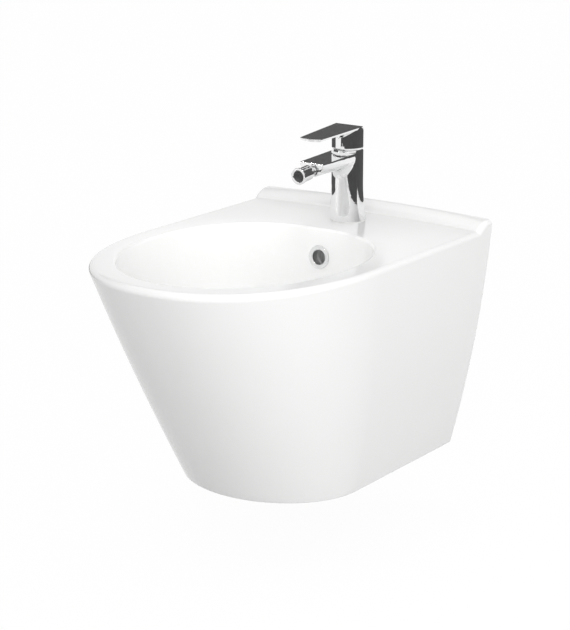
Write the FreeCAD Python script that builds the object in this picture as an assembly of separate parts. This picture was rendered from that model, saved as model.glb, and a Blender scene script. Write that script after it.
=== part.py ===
import FreeCAD, Part
import math
import os

# Wall-hung bidet with a single-lever mixer, a click waste and its wall fixings.
# Millimetres, +Z up. The wall is the plane Y = 0 and the front looks towards -Y.
# The origin lies on the wall, midway between the two wall fixings.

Vector = FreeCAD.Vector

# Ceramic body, outside
body_width = 360.0
body_depth = 500.0
deck_height = 306.5
fixing_height = 200.0
rim_straight = 261.0
rim_exponent = 2.24
rim_round = 7.0
foot_width = 250.0
foot_depth = 339.0
foot_straight = 230.0
foot_exponent = 2.0
foot_round = 3.0
foot_lean = 20.0
side_bulge = 6.6
front_bulge = 3.0

# Upstand along the wall
ledge_mid_depth = 14.5
ledge_mid_rise = 14.6
ledge_end_depth = 33.0
ledge_end_rise = 10.8
ledge_swell = 3.5
ledge_foot_round = 5.0

# Ceramic body, hollow underside
body_wall = 12.0
back_wall = 18.0
deck_thickness = 14.0
underside_plate = 12.0
access_lip = 30.0
window_width = 120.0
window_bottom = -160.0
window_top = 50.0
window_round = 20.0

# Bowl
rim_side = 34.0
rim_front = 31.5
bowl_rear = 131.0
bowl_widest = 295.5
bowl_rear_exponent = 2.35
bowl_front_exponent = 2.05
bowl_depth = 165.0
bowl_fall_exponent = 2.1
bowl_wall = 11.0
bowl_edge_round = 3.5
waste_from_wall = 235.0
bowl_floor_radius = 42.0
boss_radius = 42.0
boss_height = 40.0
waste_hole_radius = 23.0

# Overflow
overflow_below_deck = 38.3
overflow_hole_radius = 11.4
overflow_ring_radius = 15.4
overflow_ring_bore = 9.8
overflow_ring_lip = 1.8
overflow_ring_length = 9.0
overflow_ring_round = 0.8
duct_width = 34.0
duct_gap = 14.0
duct_wall = 9.0
duct_from_wall = 103.0

# Wall fixings
fixing_spacing = 180.0
fixing_hole_radius = 11.0
stud_bore = 6.5
sleeve_flange_radius = 17.0
sleeve_flange = 3.0
fixing_washer_radius = 15.0
fixing_washer = 2.5
fixing_nut_flats = 19.0
fixing_nut_height = 10.0
fixing_nut_bore = 6.1

# Mixer body
tap_from_wall = 65.5
tap_hole_radius = 17.5
mixer_base_radius = 24.0
mixer_radius = 21.1
mixer_height = 95.8
mixer_flare = 50.0
mixer_recess_radius = 17.2
mixer_recess = 22.0
base_seal = 0.8
base_seal_width = 5.5
spout_reach = 85.5
spout_half_width = 18.0
spout_depth = 18.0
spout_root_half_width = 19.2
spout_root_depth = 21.6
spout_top_drop = 6.6
spout_root_drop = 3.4
spout_fillet = 14.0
spout_edge_round = 0.8
waterway_radius = 4.2
riser_radius = 2.4
inlet_spacing = 15.0
inlet_forward = 6.5
inlet_radius = 5.0
inlet_thread = 12.0
inlet_bore = 3.2

# Mixer fixing under the deck
mixer_stud_radius = 4.0
mixer_stud_offset = 11.0
mixer_stud_length = 76.0
clamp_radius = 22.5
clamp_slot = 26.0
clamp_seal = 3.0
clamp_plate = 2.5
mixer_nut_flats = 13.0
mixer_nut_height = 14.0

# Cartridge
cartridge_radius = 14.0
cartridge_seat_above_deck = 51.5
cartridge_base = 6.0
cartridge_bore = 12.5
cartridge_lower_bore = 11.6
cartridge_lid = 3.0
cartridge_lid_bore = 9.5
disc_thickness = 3.5
fixed_disc_radius = 11.5
moving_disc_radius = 8.5
moving_disc_offset = 2.3
mixing_pocket = 1.8
carrier_height = 5.5
rotor_height = 12.6
pivot_below_top = 16.3
pivot_pin_radius = 1.5
pivot_pin_length = 23.6
spindle_square = 8.0
spindle_above_pivot = 37.0
spindle_tip_below_pivot = 11.0
spindle_tip_radius = 3.0
spindle_neck_radius = 2.2
lift_angle = 25.0
port_radius = 2.2
port_spacing = 9.0
port_rear = 3.5
outlet_radius = 2.6
outlet_front = 5.5
port_seal = 1.2
port_seal_width = 1.2
nut_thread_radius = 16.0
nut_bore = 12.8
nut_height = 8.5
nut_notch = 4.0
dome_radius = 25.2
dome_thickness = 1.5
dome_bore = 15.2

# Lever
lever_block_radius = 21.0
lever_gap = 0.5
lever_top_above_deck = 126.3
lever_back = 4.0
lever_length = 90.5
lever_rear_half_width = 21.4
lever_front_half_width = 16.2
lever_front_arc = 4.0
lever_thickness = 3.2
lever_undercut = 0.8
lever_slope = 2.9
lever_back_slope = 50.0
lever_neck_reach = 18.0
lever_neck_drop = 18.0
lever_neck_turn = 65.0
lever_neck_fade = 75.0
lever_neck_overlap = 0.3
lever_block_round = 5.0
lever_edge_round = 0.7
lever_corner_round = 1.5
lever_socket_roof = 1.0
lever_screw_below_top = 17.3
lever_screw_radius = 2.5
lever_screw_length = 9.0
lever_plug_radius = 3.0
lever_plug_start = 13.5

# Swivel nozzle
nozzle_drop = 10.9
nozzle_tilt = 4.6
nozzle_radius = 10.0
nozzle_gap = 0.6
nozzle_ball_radius = 6.5
nozzle_neck_radius = 3.4
nozzle_stud_radius = 5.0
nozzle_stud_length = 12.0
nozzle_stud_flange_radius = 6.0
nozzle_stud_flange = 1.2
nozzle_stud_bore = 2.2
nozzle_socket_radius = 8.05
nozzle_mouth = 5.9
nozzle_mouth_back = 7.0
slip_ring_back = 4.4
slip_ring_front = 0.6
nozzle_collar_front = 5.0
nozzle_spigot_back = 3.0
nozzle_seal = 1.0
nozzle_barrel_front = 16.5
nozzle_waterway = 4.0
aerator_radius = 8.5
aerator_back = 8.0
aerator_gasket = 0.8
aerator_gasket_bore = 5.0
aerator_front = 15.2
aerator_hole_radius = 0.8
aerator_hole_pitch = 2.5
aerator_rim = 2.0
end_ring_radius = 11.0
end_ring = 3.0
end_ring_round = 0.75
end_ring_bore = 7.6

# Click waste
waste_flange_radius = 31.5
waste_flange = 3.0
waste_flange_round = 1.2
waste_seal = 1.5
waste_seal_inset = 1.0
waste_tail_radius = 20.95
waste_tail_bore = 18.2
waste_tail_length = 95.0
tail_groove = 2.0
tail_groove_depth = 0.8
tail_groove_below_nut = 0.5
waste_slot_height = 14.0
waste_slot_width = 20.0
bridge_drop = 16.0
bridge_height = 12.0
bridge_boss_radius = 10.5
spoke_width = 4.0
spoke_count = 3
lower_seal_radius = 31.0
lower_seal = 4.0
backnut_flats = 55.0
backnut_height = 10.0
click_radius = 7.0
click_bore = 5.2
click_length = 26.0
click_below_flange = 6.0
click_floor = 2.0
click_lip = 1.5
plug_radius = 32.0
plug_thickness = 4.6
plug_edge = 1.6
plug_edge_round = 0.6
plug_seal = 1.2
plug_seal_radius = 25.0
plug_seal_bore = 19.0
plug_stem_radius = 3.0
plug_collar = 3.5
plug_travel = 9.0
spring_turns = 5
spring_wire = 0.9
spring_radius = 3.9

# Clearances
slide_fit = 0.05
turn_fit = 0.06
seat_fit = 0.1
part_gap = 0.3
cut_margin = 5.0
cut_reach = 40.0
pick_margin = 1.0
same_place = 0.01
upward_normal = 0.3

# Places that follow from the sizes
half_width = body_width / 2
bowl_width = body_width - 2 * rim_side
bowl_front = body_depth - rim_front
underside_z = -fixing_height
deck_z = underside_z + deck_height
rim_z = deck_z - rim_round
deck_under_z = deck_z - deck_thickness
bowl_floor_z = deck_z - bowl_depth
boss_bottom_z = bowl_floor_z - boss_height
waste_y = -waste_from_wall
tap_y = -tap_from_wall
mixer_bottom_z = deck_z + base_seal
mixer_top_z = deck_z + mixer_height
mixer_front_y = tap_y - mixer_base_radius
axis_y = mixer_front_y + mixer_radius
pivot_z = mixer_top_z - pivot_below_top
seat_z = deck_z + cartridge_seat_above_deck
spout_end_y = tap_y - spout_reach
nozzle_y = spout_end_y - nozzle_radius - nozzle_gap
nozzle_z = mixer_top_z - spout_top_drop - nozzle_drop


def box(x0, x1, y0, y1, z0, z1):
    """Block between two corners."""
    return Part.makeBox(x1 - x0, y1 - y0, z1 - z0, Vector(x0, y0, z0))


def rod(radius, start, end):
    """Round bar from one point to another."""
    along = end - start
    return Part.makeCylinder(radius, along.Length, start, along)


def upright(radius, x, y, z0, z1):
    """Round bar along Z."""
    return rod(radius, Vector(x, y, z0), Vector(x, y, z1))


def ring(outer, bore, x, y, z0, z1):
    """Flat ring or tube along Z."""
    return upright(outer, x, y, z0, z1).cut(upright(bore, x, y, z0, z1))


def turned(profile, x, y, z):
    """Solid turned about Z from (radius, height) points, standing at a point."""
    points = [Vector(r, 0, h) for r, h in profile]
    face = Part.Face(Part.makePolygon(points + points[:1]))
    shape = face.revolve(Vector(0, 0, 0), Vector(0, 0, 1), 360)
    shape.translate(Vector(x, y, z))
    return shape


def hexagon(flats, x, y, z0, z1):
    """Hexagonal bar along Z."""
    reach = flats / math.sqrt(3)
    corners = []
    for k in range(7):
        turn = math.radians(60 * k)
        corners.append(Vector(x + reach * math.cos(turn), y + reach * math.sin(turn), z0))
    return Part.Face(Part.makePolygon(corners)).extrude(Vector(0, 0, z1 - z0))


def across(shape, y):
    """Lay a piece made along Z so that its Z points to -Y, from the plane at y."""
    shape.rotate(Vector(0, 0, 0), Vector(1, 0, 0), 90)
    shape.translate(Vector(0, y, 0))
    return shape


def middle_of(edge):
    """Point halfway along an edge."""
    return edge.valueAt((edge.FirstParameter + edge.LastParameter) / 2)


def normals_at(shape, edge, point):
    """Outward normals of the faces that meet at an edge."""
    normals = []
    for face in shape.ancestorsOfType(edge, Part.Face):
        u, v = face.Surface.parameter(point)
        normals.append(face.normalAt(u, v))
    return normals


def super_point(across_reach, along_reach, exponent, turn):
    """Point of a super-ellipse, with its signs kept."""
    c = math.cos(turn)
    s = math.sin(turn)
    x = across_reach * math.copysign(abs(c) ** (2 / exponent), c)
    y = along_reach * math.copysign(abs(s) ** (2 / exponent), s)
    return x, y


def body_outline(z, inset, back):
    """D-shaped section of the body: flat back, straight sides and a rounded nose."""
    rise = (z - underside_z) / (rim_z - underside_z)
    swell = 4 * rise * (1 - rise)
    reach = foot_width / 2 + (half_width - foot_width / 2) * rise + side_bulge * swell - inset
    straight = foot_straight + (rim_straight - foot_straight) * rise
    depth = foot_depth + (body_depth - foot_depth) * rise + front_bulge * swell - inset
    exponent = foot_exponent + (rim_exponent - foot_exponent) * rise
    nose_count = 24
    nose = []
    for k in range(nose_count + 1):
        x, y = super_point(reach, depth - straight, exponent, math.pi * k / nose_count)
        nose.append(Vector(x, -straight - abs(y), z))
    nose[0] = Vector(reach, -straight, z)
    nose[-1] = Vector(-reach, -straight, z)
    curve = Part.BSplineCurve()
    curve.interpolate(Points=nose, InitialTangent=Vector(0, -1, 0), FinalTangent=Vector(0, 1, 0))
    right = Vector(reach, -back, z)
    left = Vector(-reach, -back, z)
    edges = [Part.LineSegment(left, right).toShape()]
    edges.append(Part.LineSegment(right, nose[0]).toShape())
    edges.append(curve.toShape())
    edges.append(Part.LineSegment(nose[-1], left).toShape())
    return Part.Wire(edges)


def body_solid(z0, z1, inset, back):
    """Solid body between two heights, drawn in from the outside by an inset."""
    slice_count = 5
    heights = [z0 + (z1 - z0) * k / slice_count for k in range(slice_count + 1)]
    return Part.makeLoft([body_outline(z, inset, back) for z in heights], True, False)


def rounded_foot():
    """Lowest slice of the body, with its edge rounded into the leaning sides."""
    last = math.radians(90 - foot_lean)
    sections = []
    slice_count = 3
    for k in range(slice_count + 1):
        turn = last * k / slice_count
        z = underside_z + foot_round * (1 - math.cos(turn))
        inset = foot_round * (math.sin(last) - math.sin(turn))
        sections.append(body_outline(z, inset, -cut_margin))
    top_z = underside_z + foot_round * (1 - math.cos(last))
    return Part.makeLoft(sections, True, False), top_z


def ledge_section(x, depth, rise, top_z):
    """Space above the deck at one X: deck, swelling front of the upstand, its top, the air."""
    air_front = -body_depth - cut_reach
    foot = Vector(x, -depth, deck_z)
    crest = Vector(x, 0, deck_z + rise)
    chord = crest - foot
    outward = Vector(0, -chord.z, chord.y)
    outward.normalize()
    swell = (foot + crest) * 0.5 + outward * ledge_swell
    corners = [crest, Vector(x, cut_margin, crest.z), Vector(x, cut_margin, top_z)]
    corners += [Vector(x, air_front, top_z), Vector(x, air_front, deck_z), foot]
    edges = [Part.Arc(foot, swell, crest).toShape()]
    for start, end in zip(corners, corners[1:]):
        edges.append(Part.LineSegment(start, end).toShape())
    return Part.Wire(edges)


def outer_body():
    """Outside of the ceramic: lofted body, deck, upstand at the wall and rounded rim."""
    foot, foot_top_z = rounded_foot()
    top_z = deck_z + ledge_mid_rise + cut_margin
    body = body_solid(foot_top_z, top_z, 0, -cut_margin).fuse(foot)
    reach = half_width + 2 * cut_margin
    body = body.cut(box(-reach, reach, 0, 2 * cut_margin, underside_z - cut_margin, top_z + cut_margin))
    air_top = top_z + cut_margin
    end = [ledge_end_depth, ledge_end_rise, air_top]
    sections = [ledge_section(-reach, *end)]
    sections.append(ledge_section(0, ledge_mid_depth, ledge_mid_rise, air_top))
    sections.append(ledge_section(reach, *end))
    body = body.cut(Part.makeLoft(sections, True, False))
    ledge_foot = []
    for edge in body.Edges:
        point = middle_of(edge)
        on_deck = abs(point.z - deck_z) < same_place
        if on_deck and abs(point.x) < pick_margin and point.y > -ledge_end_depth:
            ledge_foot.append(edge)
    body = body.makeFillet(ledge_foot_round, ledge_foot)
    rim = []
    for edge in body.Edges:
        point = middle_of(edge)
        normals = normals_at(body, edge, point)
        if point.z < deck_z - pick_margin or point.y > -same_place or len(normals) != 2:
            continue
        low, high = sorted(normal.z for normal in normals)
        if low < upward_normal < high:
            rim.append(edge)
    return body.makeFillet(rim_round, rim)


def bowl_outline(z, share, grow):
    """Closed section of the bowl between its deck outline (share 1) and its floor (share 0)."""
    floor = bowl_floor_radius + grow
    reach = floor + (bowl_width / 2 + grow - floor) * share
    rear = floor + (bowl_widest - bowl_rear + grow - floor) * share
    front = floor + (bowl_front - bowl_widest + grow - floor) * share
    centre = waste_y + (waste_from_wall - bowl_widest) * share
    rear_exponent = 2 + (bowl_rear_exponent - 2) * share
    front_exponent = 2 + (bowl_front_exponent - 2) * share
    points = []
    point_count = 36
    for k in range(point_count):
        turn = 2 * math.pi * k / point_count
        if math.sin(turn) >= 0:
            x, y = super_point(reach, rear, rear_exponent, turn)
        else:
            x, y = super_point(reach, front, front_exponent, turn)
        points.append(Vector(x, centre + y, z))
    curve = Part.BSplineCurve()
    curve.interpolate(Points=points, PeriodicFlag=True)
    return Part.Wire([curve.toShape()])


def bowl_space(grow):
    """Bowl from above the deck to its floor, grown on all sides by a wall."""
    sections = [bowl_outline(deck_z + cut_margin, 1, grow)]
    slice_count = 7
    for k in range(slice_count + 1):
        turn = math.pi / 2 * k / slice_count
        fall = math.sin(turn) ** (2 / bowl_fall_exponent)
        share = max(math.cos(turn), 0) ** (2 / bowl_fall_exponent)
        sections.append(bowl_outline(deck_z - (bowl_depth + grow) * fall, share, grow))
    return Part.makeLoft(sections, True, False)


def overflow_seat():
    """Centre of the overflow on the bowl's rear wall, and the wall's lean there in degrees."""
    def wall_y(below):
        fall = below / bowl_depth
        share = (1 - fall ** bowl_fall_exponent) ** (1 / bowl_fall_exponent)
        rear = bowl_floor_radius + (bowl_widest - bowl_rear - bowl_floor_radius) * share
        return waste_y + (waste_from_wall - bowl_widest) * share + rear
    step = 1.0
    above = wall_y(overflow_below_deck - step)
    below = wall_y(overflow_below_deck + step)
    lean = math.degrees(math.atan2(above - below, 2 * step))
    centre = Vector(0, wall_y(overflow_below_deck), deck_z - overflow_below_deck)
    return centre, lean


def at_overflow(shape):
    """Set a piece made along Z square on the bowl's rear wall, with Z out into the bowl."""
    centre, lean = overflow_seat()
    shape.rotate(Vector(0, 0, 0), Vector(1, 0, 0), 90 - lean)
    shape.translate(centre)
    return shape


def overflow_duct(wall):
    """Overflow way behind and under the bowl; wall 0 gives the way, a wall its casing."""
    reach = duct_width / 2 + wall
    back_y = -duct_from_wall + wall
    front_y = -duct_from_wall - duct_gap - wall
    low_z = bowl_floor_z - bowl_wall - part_gap - duct_gap - wall
    high_z = deck_z - overflow_below_deck + overflow_hole_radius + wall
    run_top_z = low_z + duct_gap + 2 * wall
    drop = box(-reach, reach, front_y, back_y, low_z, high_z)
    run = box(-reach, reach, waste_y, back_y, low_z, run_top_z)
    return drop.fuse(run)


def ceramic_body():
    """Vitreous china body: hollow skirted shell, bowl, overflow way and fixing holes."""
    outside = outer_body()
    hollow_low = underside_z + underside_plate
    body = outside.cut(body_solid(hollow_low, deck_under_z, body_wall, back_wall))
    below_deck = box(-half_width, half_width, -body_depth, 0, underside_z, deck_z - deck_thickness / 2)
    skin = bowl_space(bowl_wall).common(below_deck)
    boss = upright(boss_radius, 0, waste_y, boss_bottom_z, bowl_floor_z)
    body = body.fuse(skin).fuse(boss).fuse(overflow_duct(duct_wall))
    body = body.cut(bowl_space(0))
    brim = []
    for edge in body.Edges:
        limits = edge.BoundBox
        flat = abs(limits.ZMax - deck_z) < same_place and limits.ZLength < same_place
        behind = limits.YMax > -bowl_rear + pick_margin
        if flat and not behind and limits.XMax < bowl_width / 2 + pick_margin:
            brim.append(edge)
    body = body.makeFillet(bowl_edge_round, brim)
    body = body.cut(overflow_duct(0))
    landing = upright(overflow_ring_radius + part_gap, 0, 0, -seat_fit, cut_margin)
    body = body.cut(at_overflow(landing))
    centre, lean = overflow_seat()
    into_duct = -duct_from_wall - centre.y
    body = body.cut(at_overflow(upright(overflow_hole_radius, 0, 0, -into_duct, cut_margin)))
    body = body.cut(upright(waste_hole_radius, 0, waste_y, boss_bottom_z, bowl_floor_z + cut_margin))
    body = body.cut(upright(tap_hole_radius, 0, tap_y, deck_under_z - cut_margin, deck_z + cut_margin))
    body = body.cut(access_opening()).cut(back_window())
    for side in (-1, 1):
        hole = upright(fixing_hole_radius, 0, 0, -cut_margin, back_wall + cut_margin)
        body = body.cut(moved(across(hole, 0), side * fixing_spacing / 2))
    return body


def moved(shape, x):
    """Shift a piece along X."""
    shape.translate(Vector(x, 0, 0))
    return shape


def access_opening():
    """Opening in the underside through which the waste and the fixings are reached."""
    inset = body_wall + access_lip
    return body_solid(underside_z - cut_margin, underside_z + 2 * underside_plate, inset,
                      back_wall + access_lip)


def back_window():
    """Opening in the back wall for the trap and the supply pipes."""
    window = box(-window_width / 2, window_width / 2, -back_wall - cut_margin, cut_margin,
                 window_bottom, window_top)
    corners = []
    for edge in window.Edges:
        if edge.BoundBox.YLength > back_wall:
            corners.append(edge)
    return window.makeFillet(window_round, corners)


def overflow_ring():
    """Plated trim ring pushed into the overflow hole, with a rounded lip."""
    sleeve = overflow_hole_radius - slide_fit
    lip = overflow_ring_lip - seat_fit
    shape = turned([
        (overflow_ring_bore, -overflow_ring_length),
        (sleeve, -overflow_ring_length),
        (sleeve, -seat_fit),
        (overflow_ring_radius, -seat_fit),
        (overflow_ring_radius, lip),
        (overflow_ring_bore, lip),
    ], 0, 0, 0)
    rounded = []
    for edge in shape.Edges:
        limits = edge.BoundBox
        if abs(limits.ZMin - lip) < same_place and limits.ZLength < same_place:
            rounded.append(edge)
    return at_overflow(shape.makeFillet(overflow_ring_round, rounded))


def pair(shape):
    """A piece at each of the two wall fixings, as one group."""
    left = shape.copy()
    right = shape.copy()
    return Part.makeCompound([moved(left, -fixing_spacing / 2), moved(right, fixing_spacing / 2)])


def fixing_sleeves():
    """Flanged plastic sleeves that keep the wall studs off the ceramic."""
    flange_z = back_wall + sleeve_flange
    sleeve = upright(fixing_hole_radius - seat_fit, 0, 0, 0, flange_z)
    sleeve = sleeve.fuse(upright(sleeve_flange_radius, 0, 0, back_wall, flange_z))
    return pair(across(sleeve.cut(upright(stud_bore, 0, 0, 0, flange_z)), 0))


def fixing_washers():
    """Flat steel washers under the fixing nuts."""
    start = back_wall + sleeve_flange
    return pair(across(ring(fixing_washer_radius, stud_bore, 0, 0, start, start + fixing_washer), 0))


def fixing_nuts():
    """Hexagon nuts that pull the body against the wall."""
    start = back_wall + sleeve_flange + fixing_washer
    end = start + fixing_nut_height
    nut = hexagon(fixing_nut_flats, 0, 0, start, end)
    return pair(across(nut.cut(upright(fixing_nut_bore, 0, 0, start, end)), 0))


def spout_section(y, reach, depth, top_z):
    """D-shaped section of the spout: flat top and round underside."""
    right = Vector(reach, y, top_z)
    left = Vector(-reach, y, top_z)
    under = Part.Arc(right, Vector(0, y, top_z - depth), left)
    return Part.Wire([Part.LineSegment(left, right).toShape(), under.toShape()])


def mixer_shell():
    """Outside of the mixer: flared body with the spout growing out of its front."""
    sections = []
    slice_count = 5
    for k in range(slice_count + 1):
        height = mixer_flare * k / slice_count
        flare = (1 - height / mixer_flare) ** 2
        radius = mixer_radius + (mixer_base_radius - mixer_radius) * flare
        centre = Vector(0, mixer_front_y + radius, mixer_bottom_z + height)
        sections.append(Part.Wire([Part.Circle(centre, Vector(0, 0, 1), radius).toShape()]))
    shell = Part.makeLoft(sections, True, False)
    shell = shell.fuse(upright(mixer_radius, 0, axis_y, mixer_bottom_z + mixer_flare, mixer_top_z))
    root = spout_section(axis_y, spout_root_half_width, spout_root_depth, mixer_top_z - spout_root_drop)
    tip = spout_section(spout_end_y, spout_half_width, spout_depth, mixer_top_z - spout_top_drop)
    spout = Part.makeLoft([root, tip], True, False)
    tip_edges = []
    for edge in spout.Edges:
        if abs(edge.BoundBox.YMax - spout_end_y) < same_place:
            tip_edges.append(edge)
    spout = spout.makeFillet(spout_edge_round, tip_edges)
    return shell.fuse(spout)


def mixer_body():
    """Plated brass mixer body with its cartridge chamber, waterways and screw threads."""
    body = mixer_shell()
    body = round_spout_root(body)
    crown = upright(mixer_radius + part_gap, 0, axis_y, pivot_z, mixer_top_z + cut_margin)
    crown = crown.cut(Part.makeSphere(dome_radius, Vector(0, axis_y, pivot_z)))
    crown = crown.cut(upright(mixer_base_radius + cut_margin, 0, axis_y, pivot_z, crown_foot_z()))
    body = body.cut(crown)
    top = mixer_top_z + cut_margin
    body = body.cut(upright(cartridge_radius + seat_fit, 0, axis_y, seat_z, top))
    body = body.cut(upright(nut_thread_radius, 0, axis_y, cartridge_top_z(), top))
    recess_roof = mixer_bottom_z + mixer_recess
    body = body.cut(upright(mixer_recess_radius, 0, tap_y, mixer_bottom_z - cut_margin, recess_roof))
    for side in (-1, 1):
        x = side * inlet_spacing / 2
        y = tap_y - inlet_forward
        thread_top = recess_roof + inlet_thread
        body = body.cut(upright(inlet_radius, x, y, recess_roof - cut_margin, thread_top))
        port = Vector(side * port_spacing / 2, axis_y + port_rear, seat_z)
        body = body.cut(rod(inlet_bore, Vector(x, y, thread_top), port))
    stud_y = tap_y + mixer_stud_offset
    body = body.cut(upright(mixer_stud_radius + slide_fit, 0, stud_y, recess_roof - cut_margin,
                            recess_roof + inlet_thread))
    return body.cut(mixer_waterway())


def crown_foot_z():
    """Height at which the domed top meets the mixer's side."""
    return pivot_z + math.sqrt(dome_radius ** 2 - mixer_radius ** 2)


def cartridge_top_z():
    """Top of the cartridge's lid."""
    rotor_z = seat_z + cartridge_base + 2 * disc_thickness + carrier_height + 2 * part_gap
    return rotor_z + rotor_height + part_gap + cartridge_lid


def round_spout_root(body):
    """Fillet where the spout's underside runs into the mixer's front."""
    root = []
    for edge in body.Edges:
        point = middle_of(edge)
        off_axis = math.hypot(point.x, point.y - axis_y)
        in_front = point.y < axis_y and abs(off_axis - mixer_radius) < pick_margin / 2
        under_top = point.z < mixer_top_z - spout_top_drop - pick_margin
        over_flare = point.z > mixer_bottom_z + mixer_flare + pick_margin
        if in_front and under_top and over_flare and edge.BoundBox.ZLength > pick_margin:
            root.append(edge)
    return body.makeFillet(spout_fillet, root)


def mixer_waterway():
    """Way of the mixed water from the cartridge seat up into the spout."""
    out_y = axis_y - outlet_front
    riser_y = axis_y - (mixer_radius + cartridge_radius) / 2
    cross_z = seat_z - 2 * waterway_radius
    way = upright(outlet_radius, 0, out_y, cross_z, seat_z)
    way = way.fuse(rod(outlet_radius, Vector(0, out_y, cross_z), Vector(0, riser_y, cross_z)))
    way = way.fuse(upright(riser_radius, 0, riser_y, cross_z, nozzle_z))
    way = way.fuse(rod(waterway_radius, Vector(0, riser_y, nozzle_z), Vector(0, spout_end_y, nozzle_z)))
    thread_y = spout_end_y + nozzle_stud_length
    thread = rod(nozzle_stud_radius + slide_fit, Vector(0, thread_y, nozzle_z),
                 Vector(0, spout_end_y - cut_margin, nozzle_z))
    return way.fuse(thread)


def mixer_base_seal():
    """Flat plastic ring between the mixer and the ceramic deck."""
    outer = mixer_base_radius - part_gap
    return ring(outer, outer - base_seal_width, 0, tap_y, deck_z, mixer_bottom_z)


def mixer_stud():
    """Threaded stud screwed into the mixer's base, through the tap hole."""
    top = mixer_bottom_z + mixer_recess + inlet_thread
    return upright(mixer_stud_radius, 0, tap_y + mixer_stud_offset, top - mixer_stud_length, top)


def clamp(z0, z1):
    """Horseshoe that spans the tap hole and leaves room for the supply tails."""
    plate = upright(clamp_radius, 0, tap_y, z0, z1)
    stud_y = tap_y + mixer_stud_offset
    slot_y = stud_y - 2 * mixer_stud_radius
    plate = plate.cut(box(-clamp_slot / 2, clamp_slot / 2, tap_y - 2 * clamp_radius, slot_y, z0, z1))
    return plate.cut(upright(mixer_stud_radius + part_gap, 0, stud_y, z0, z1))


def clamp_seal_ring():
    """Rubber horseshoe under the deck."""
    return clamp(deck_under_z - clamp_seal, deck_under_z)


def clamp_plate_ring():
    """Steel horseshoe that spreads the clamping load."""
    top = deck_under_z - clamp_seal
    return clamp(top - clamp_plate, top)


def mixer_nut():
    """Long brass nut that draws the mixer down on the deck."""
    top = deck_under_z - clamp_seal - clamp_plate
    stud_y = tap_y + mixer_stud_offset
    nut = hexagon(mixer_nut_flats, 0, stud_y, top - mixer_nut_height, top)
    return nut.cut(upright(mixer_stud_radius + slide_fit, 0, stud_y, top - mixer_nut_height, top))


def port_places():
    """Plan positions and radii of the two inlets and the outlet in the cartridge."""
    rear = axis_y + port_rear
    places = [(-port_spacing / 2, rear, port_radius), (port_spacing / 2, rear, port_radius)]
    places.append((0, axis_y - outlet_front, outlet_radius))
    return places


def with_ports(shape, z0, z1):
    """Bore the three water ports through a piece."""
    for x, y, radius in port_places():
        shape = shape.cut(upright(radius, x, y, z0, z1))
    return shape


def cartridge_base_plate():
    """Plastic foot of the cartridge, with seats for the port seals."""
    top = seat_z + cartridge_base
    plate = with_ports(upright(cartridge_radius, 0, axis_y, seat_z, top), seat_z, top)
    for x, y, radius in port_places():
        plate = plate.cut(upright(radius + port_seal_width, x, y, seat_z, seat_z + port_seal))
    return plate


def cartridge_seals():
    """Three rubber port seals between the cartridge and its seat."""
    rings = []
    for x, y, radius in port_places():
        outer = radius + port_seal_width - slide_fit
        rings.append(ring(outer, radius, x, y, seat_z, seat_z + port_seal))
    return Part.makeCompound(rings)


def fixed_disc():
    """Ceramic disc with the three ports, held in the cartridge's foot."""
    low = seat_z + cartridge_base
    high = low + disc_thickness
    return with_ports(upright(fixed_disc_radius, 0, axis_y, low, high), low, high)


def moving_disc():
    """Ceramic disc with the mixing pocket that slides over the ports."""
    low = seat_z + cartridge_base + disc_thickness
    y = axis_y + moving_disc_offset
    disc = upright(moving_disc_radius, 0, y, low, low + disc_thickness)
    pocket = moving_disc_radius - 2 * mixing_pocket
    return disc.cut(upright(pocket, 0, y - moving_disc_offset, low, low + mixing_pocket))


def disc_carrier():
    """Plastic carrier on the moving disc, driven by the tip of the spindle."""
    low = seat_z + cartridge_base + 2 * disc_thickness
    high = low + carrier_height
    carrier = upright(moving_disc_radius + part_gap, 0, axis_y + moving_disc_offset, low, high)
    slot = spindle_tip_radius + seat_fit
    return carrier.cut(box(-slot, slot, axis_y - slot, axis_y + slot, low + part_gap, high))


def cartridge_housing():
    """Plastic sleeve of the cartridge, with a shoulder under the rotor and a lid over it."""
    low = seat_z + cartridge_base
    high = cartridge_top_z()
    shoulder = high - cartridge_lid - part_gap - rotor_height
    sleeve = upright(cartridge_radius, 0, axis_y, low, high)
    sleeve = sleeve.cut(upright(cartridge_lower_bore, 0, axis_y, low, shoulder))
    sleeve = sleeve.cut(upright(cartridge_bore, 0, axis_y, shoulder, high - cartridge_lid))
    return sleeve.cut(upright(cartridge_lid_bore, 0, axis_y, high - cartridge_lid, high))


def rotor():
    """Plastic turret that carries the spindle's pivot and turns with the lever."""
    high = cartridge_top_z() - cartridge_lid - part_gap
    low = high - rotor_height
    turret = upright(cartridge_bore - turn_fit, 0, axis_y, low, high)
    reach_x = spindle_square / 2 + seat_fit
    swing = max(high - pivot_z, pivot_z - low) * math.sin(math.radians(lift_angle))
    reach_y = swing + spindle_square / 2 + part_gap
    turret = turret.cut(box(-reach_x, reach_x, axis_y - reach_y, axis_y + reach_y, low, high))
    return turret.cut(pivot_bar(pivot_pin_radius + slide_fit, 2 * cartridge_bore))


def pivot_bar(radius, length):
    """Bar along X through the spindle's pivot."""
    start = Vector(-length / 2, axis_y, pivot_z)
    return rod(radius, start, Vector(length / 2, axis_y, pivot_z))


def pivot_pin():
    """Steel pin on which the spindle tilts."""
    return pivot_bar(pivot_pin_radius, pivot_pin_length)


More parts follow.
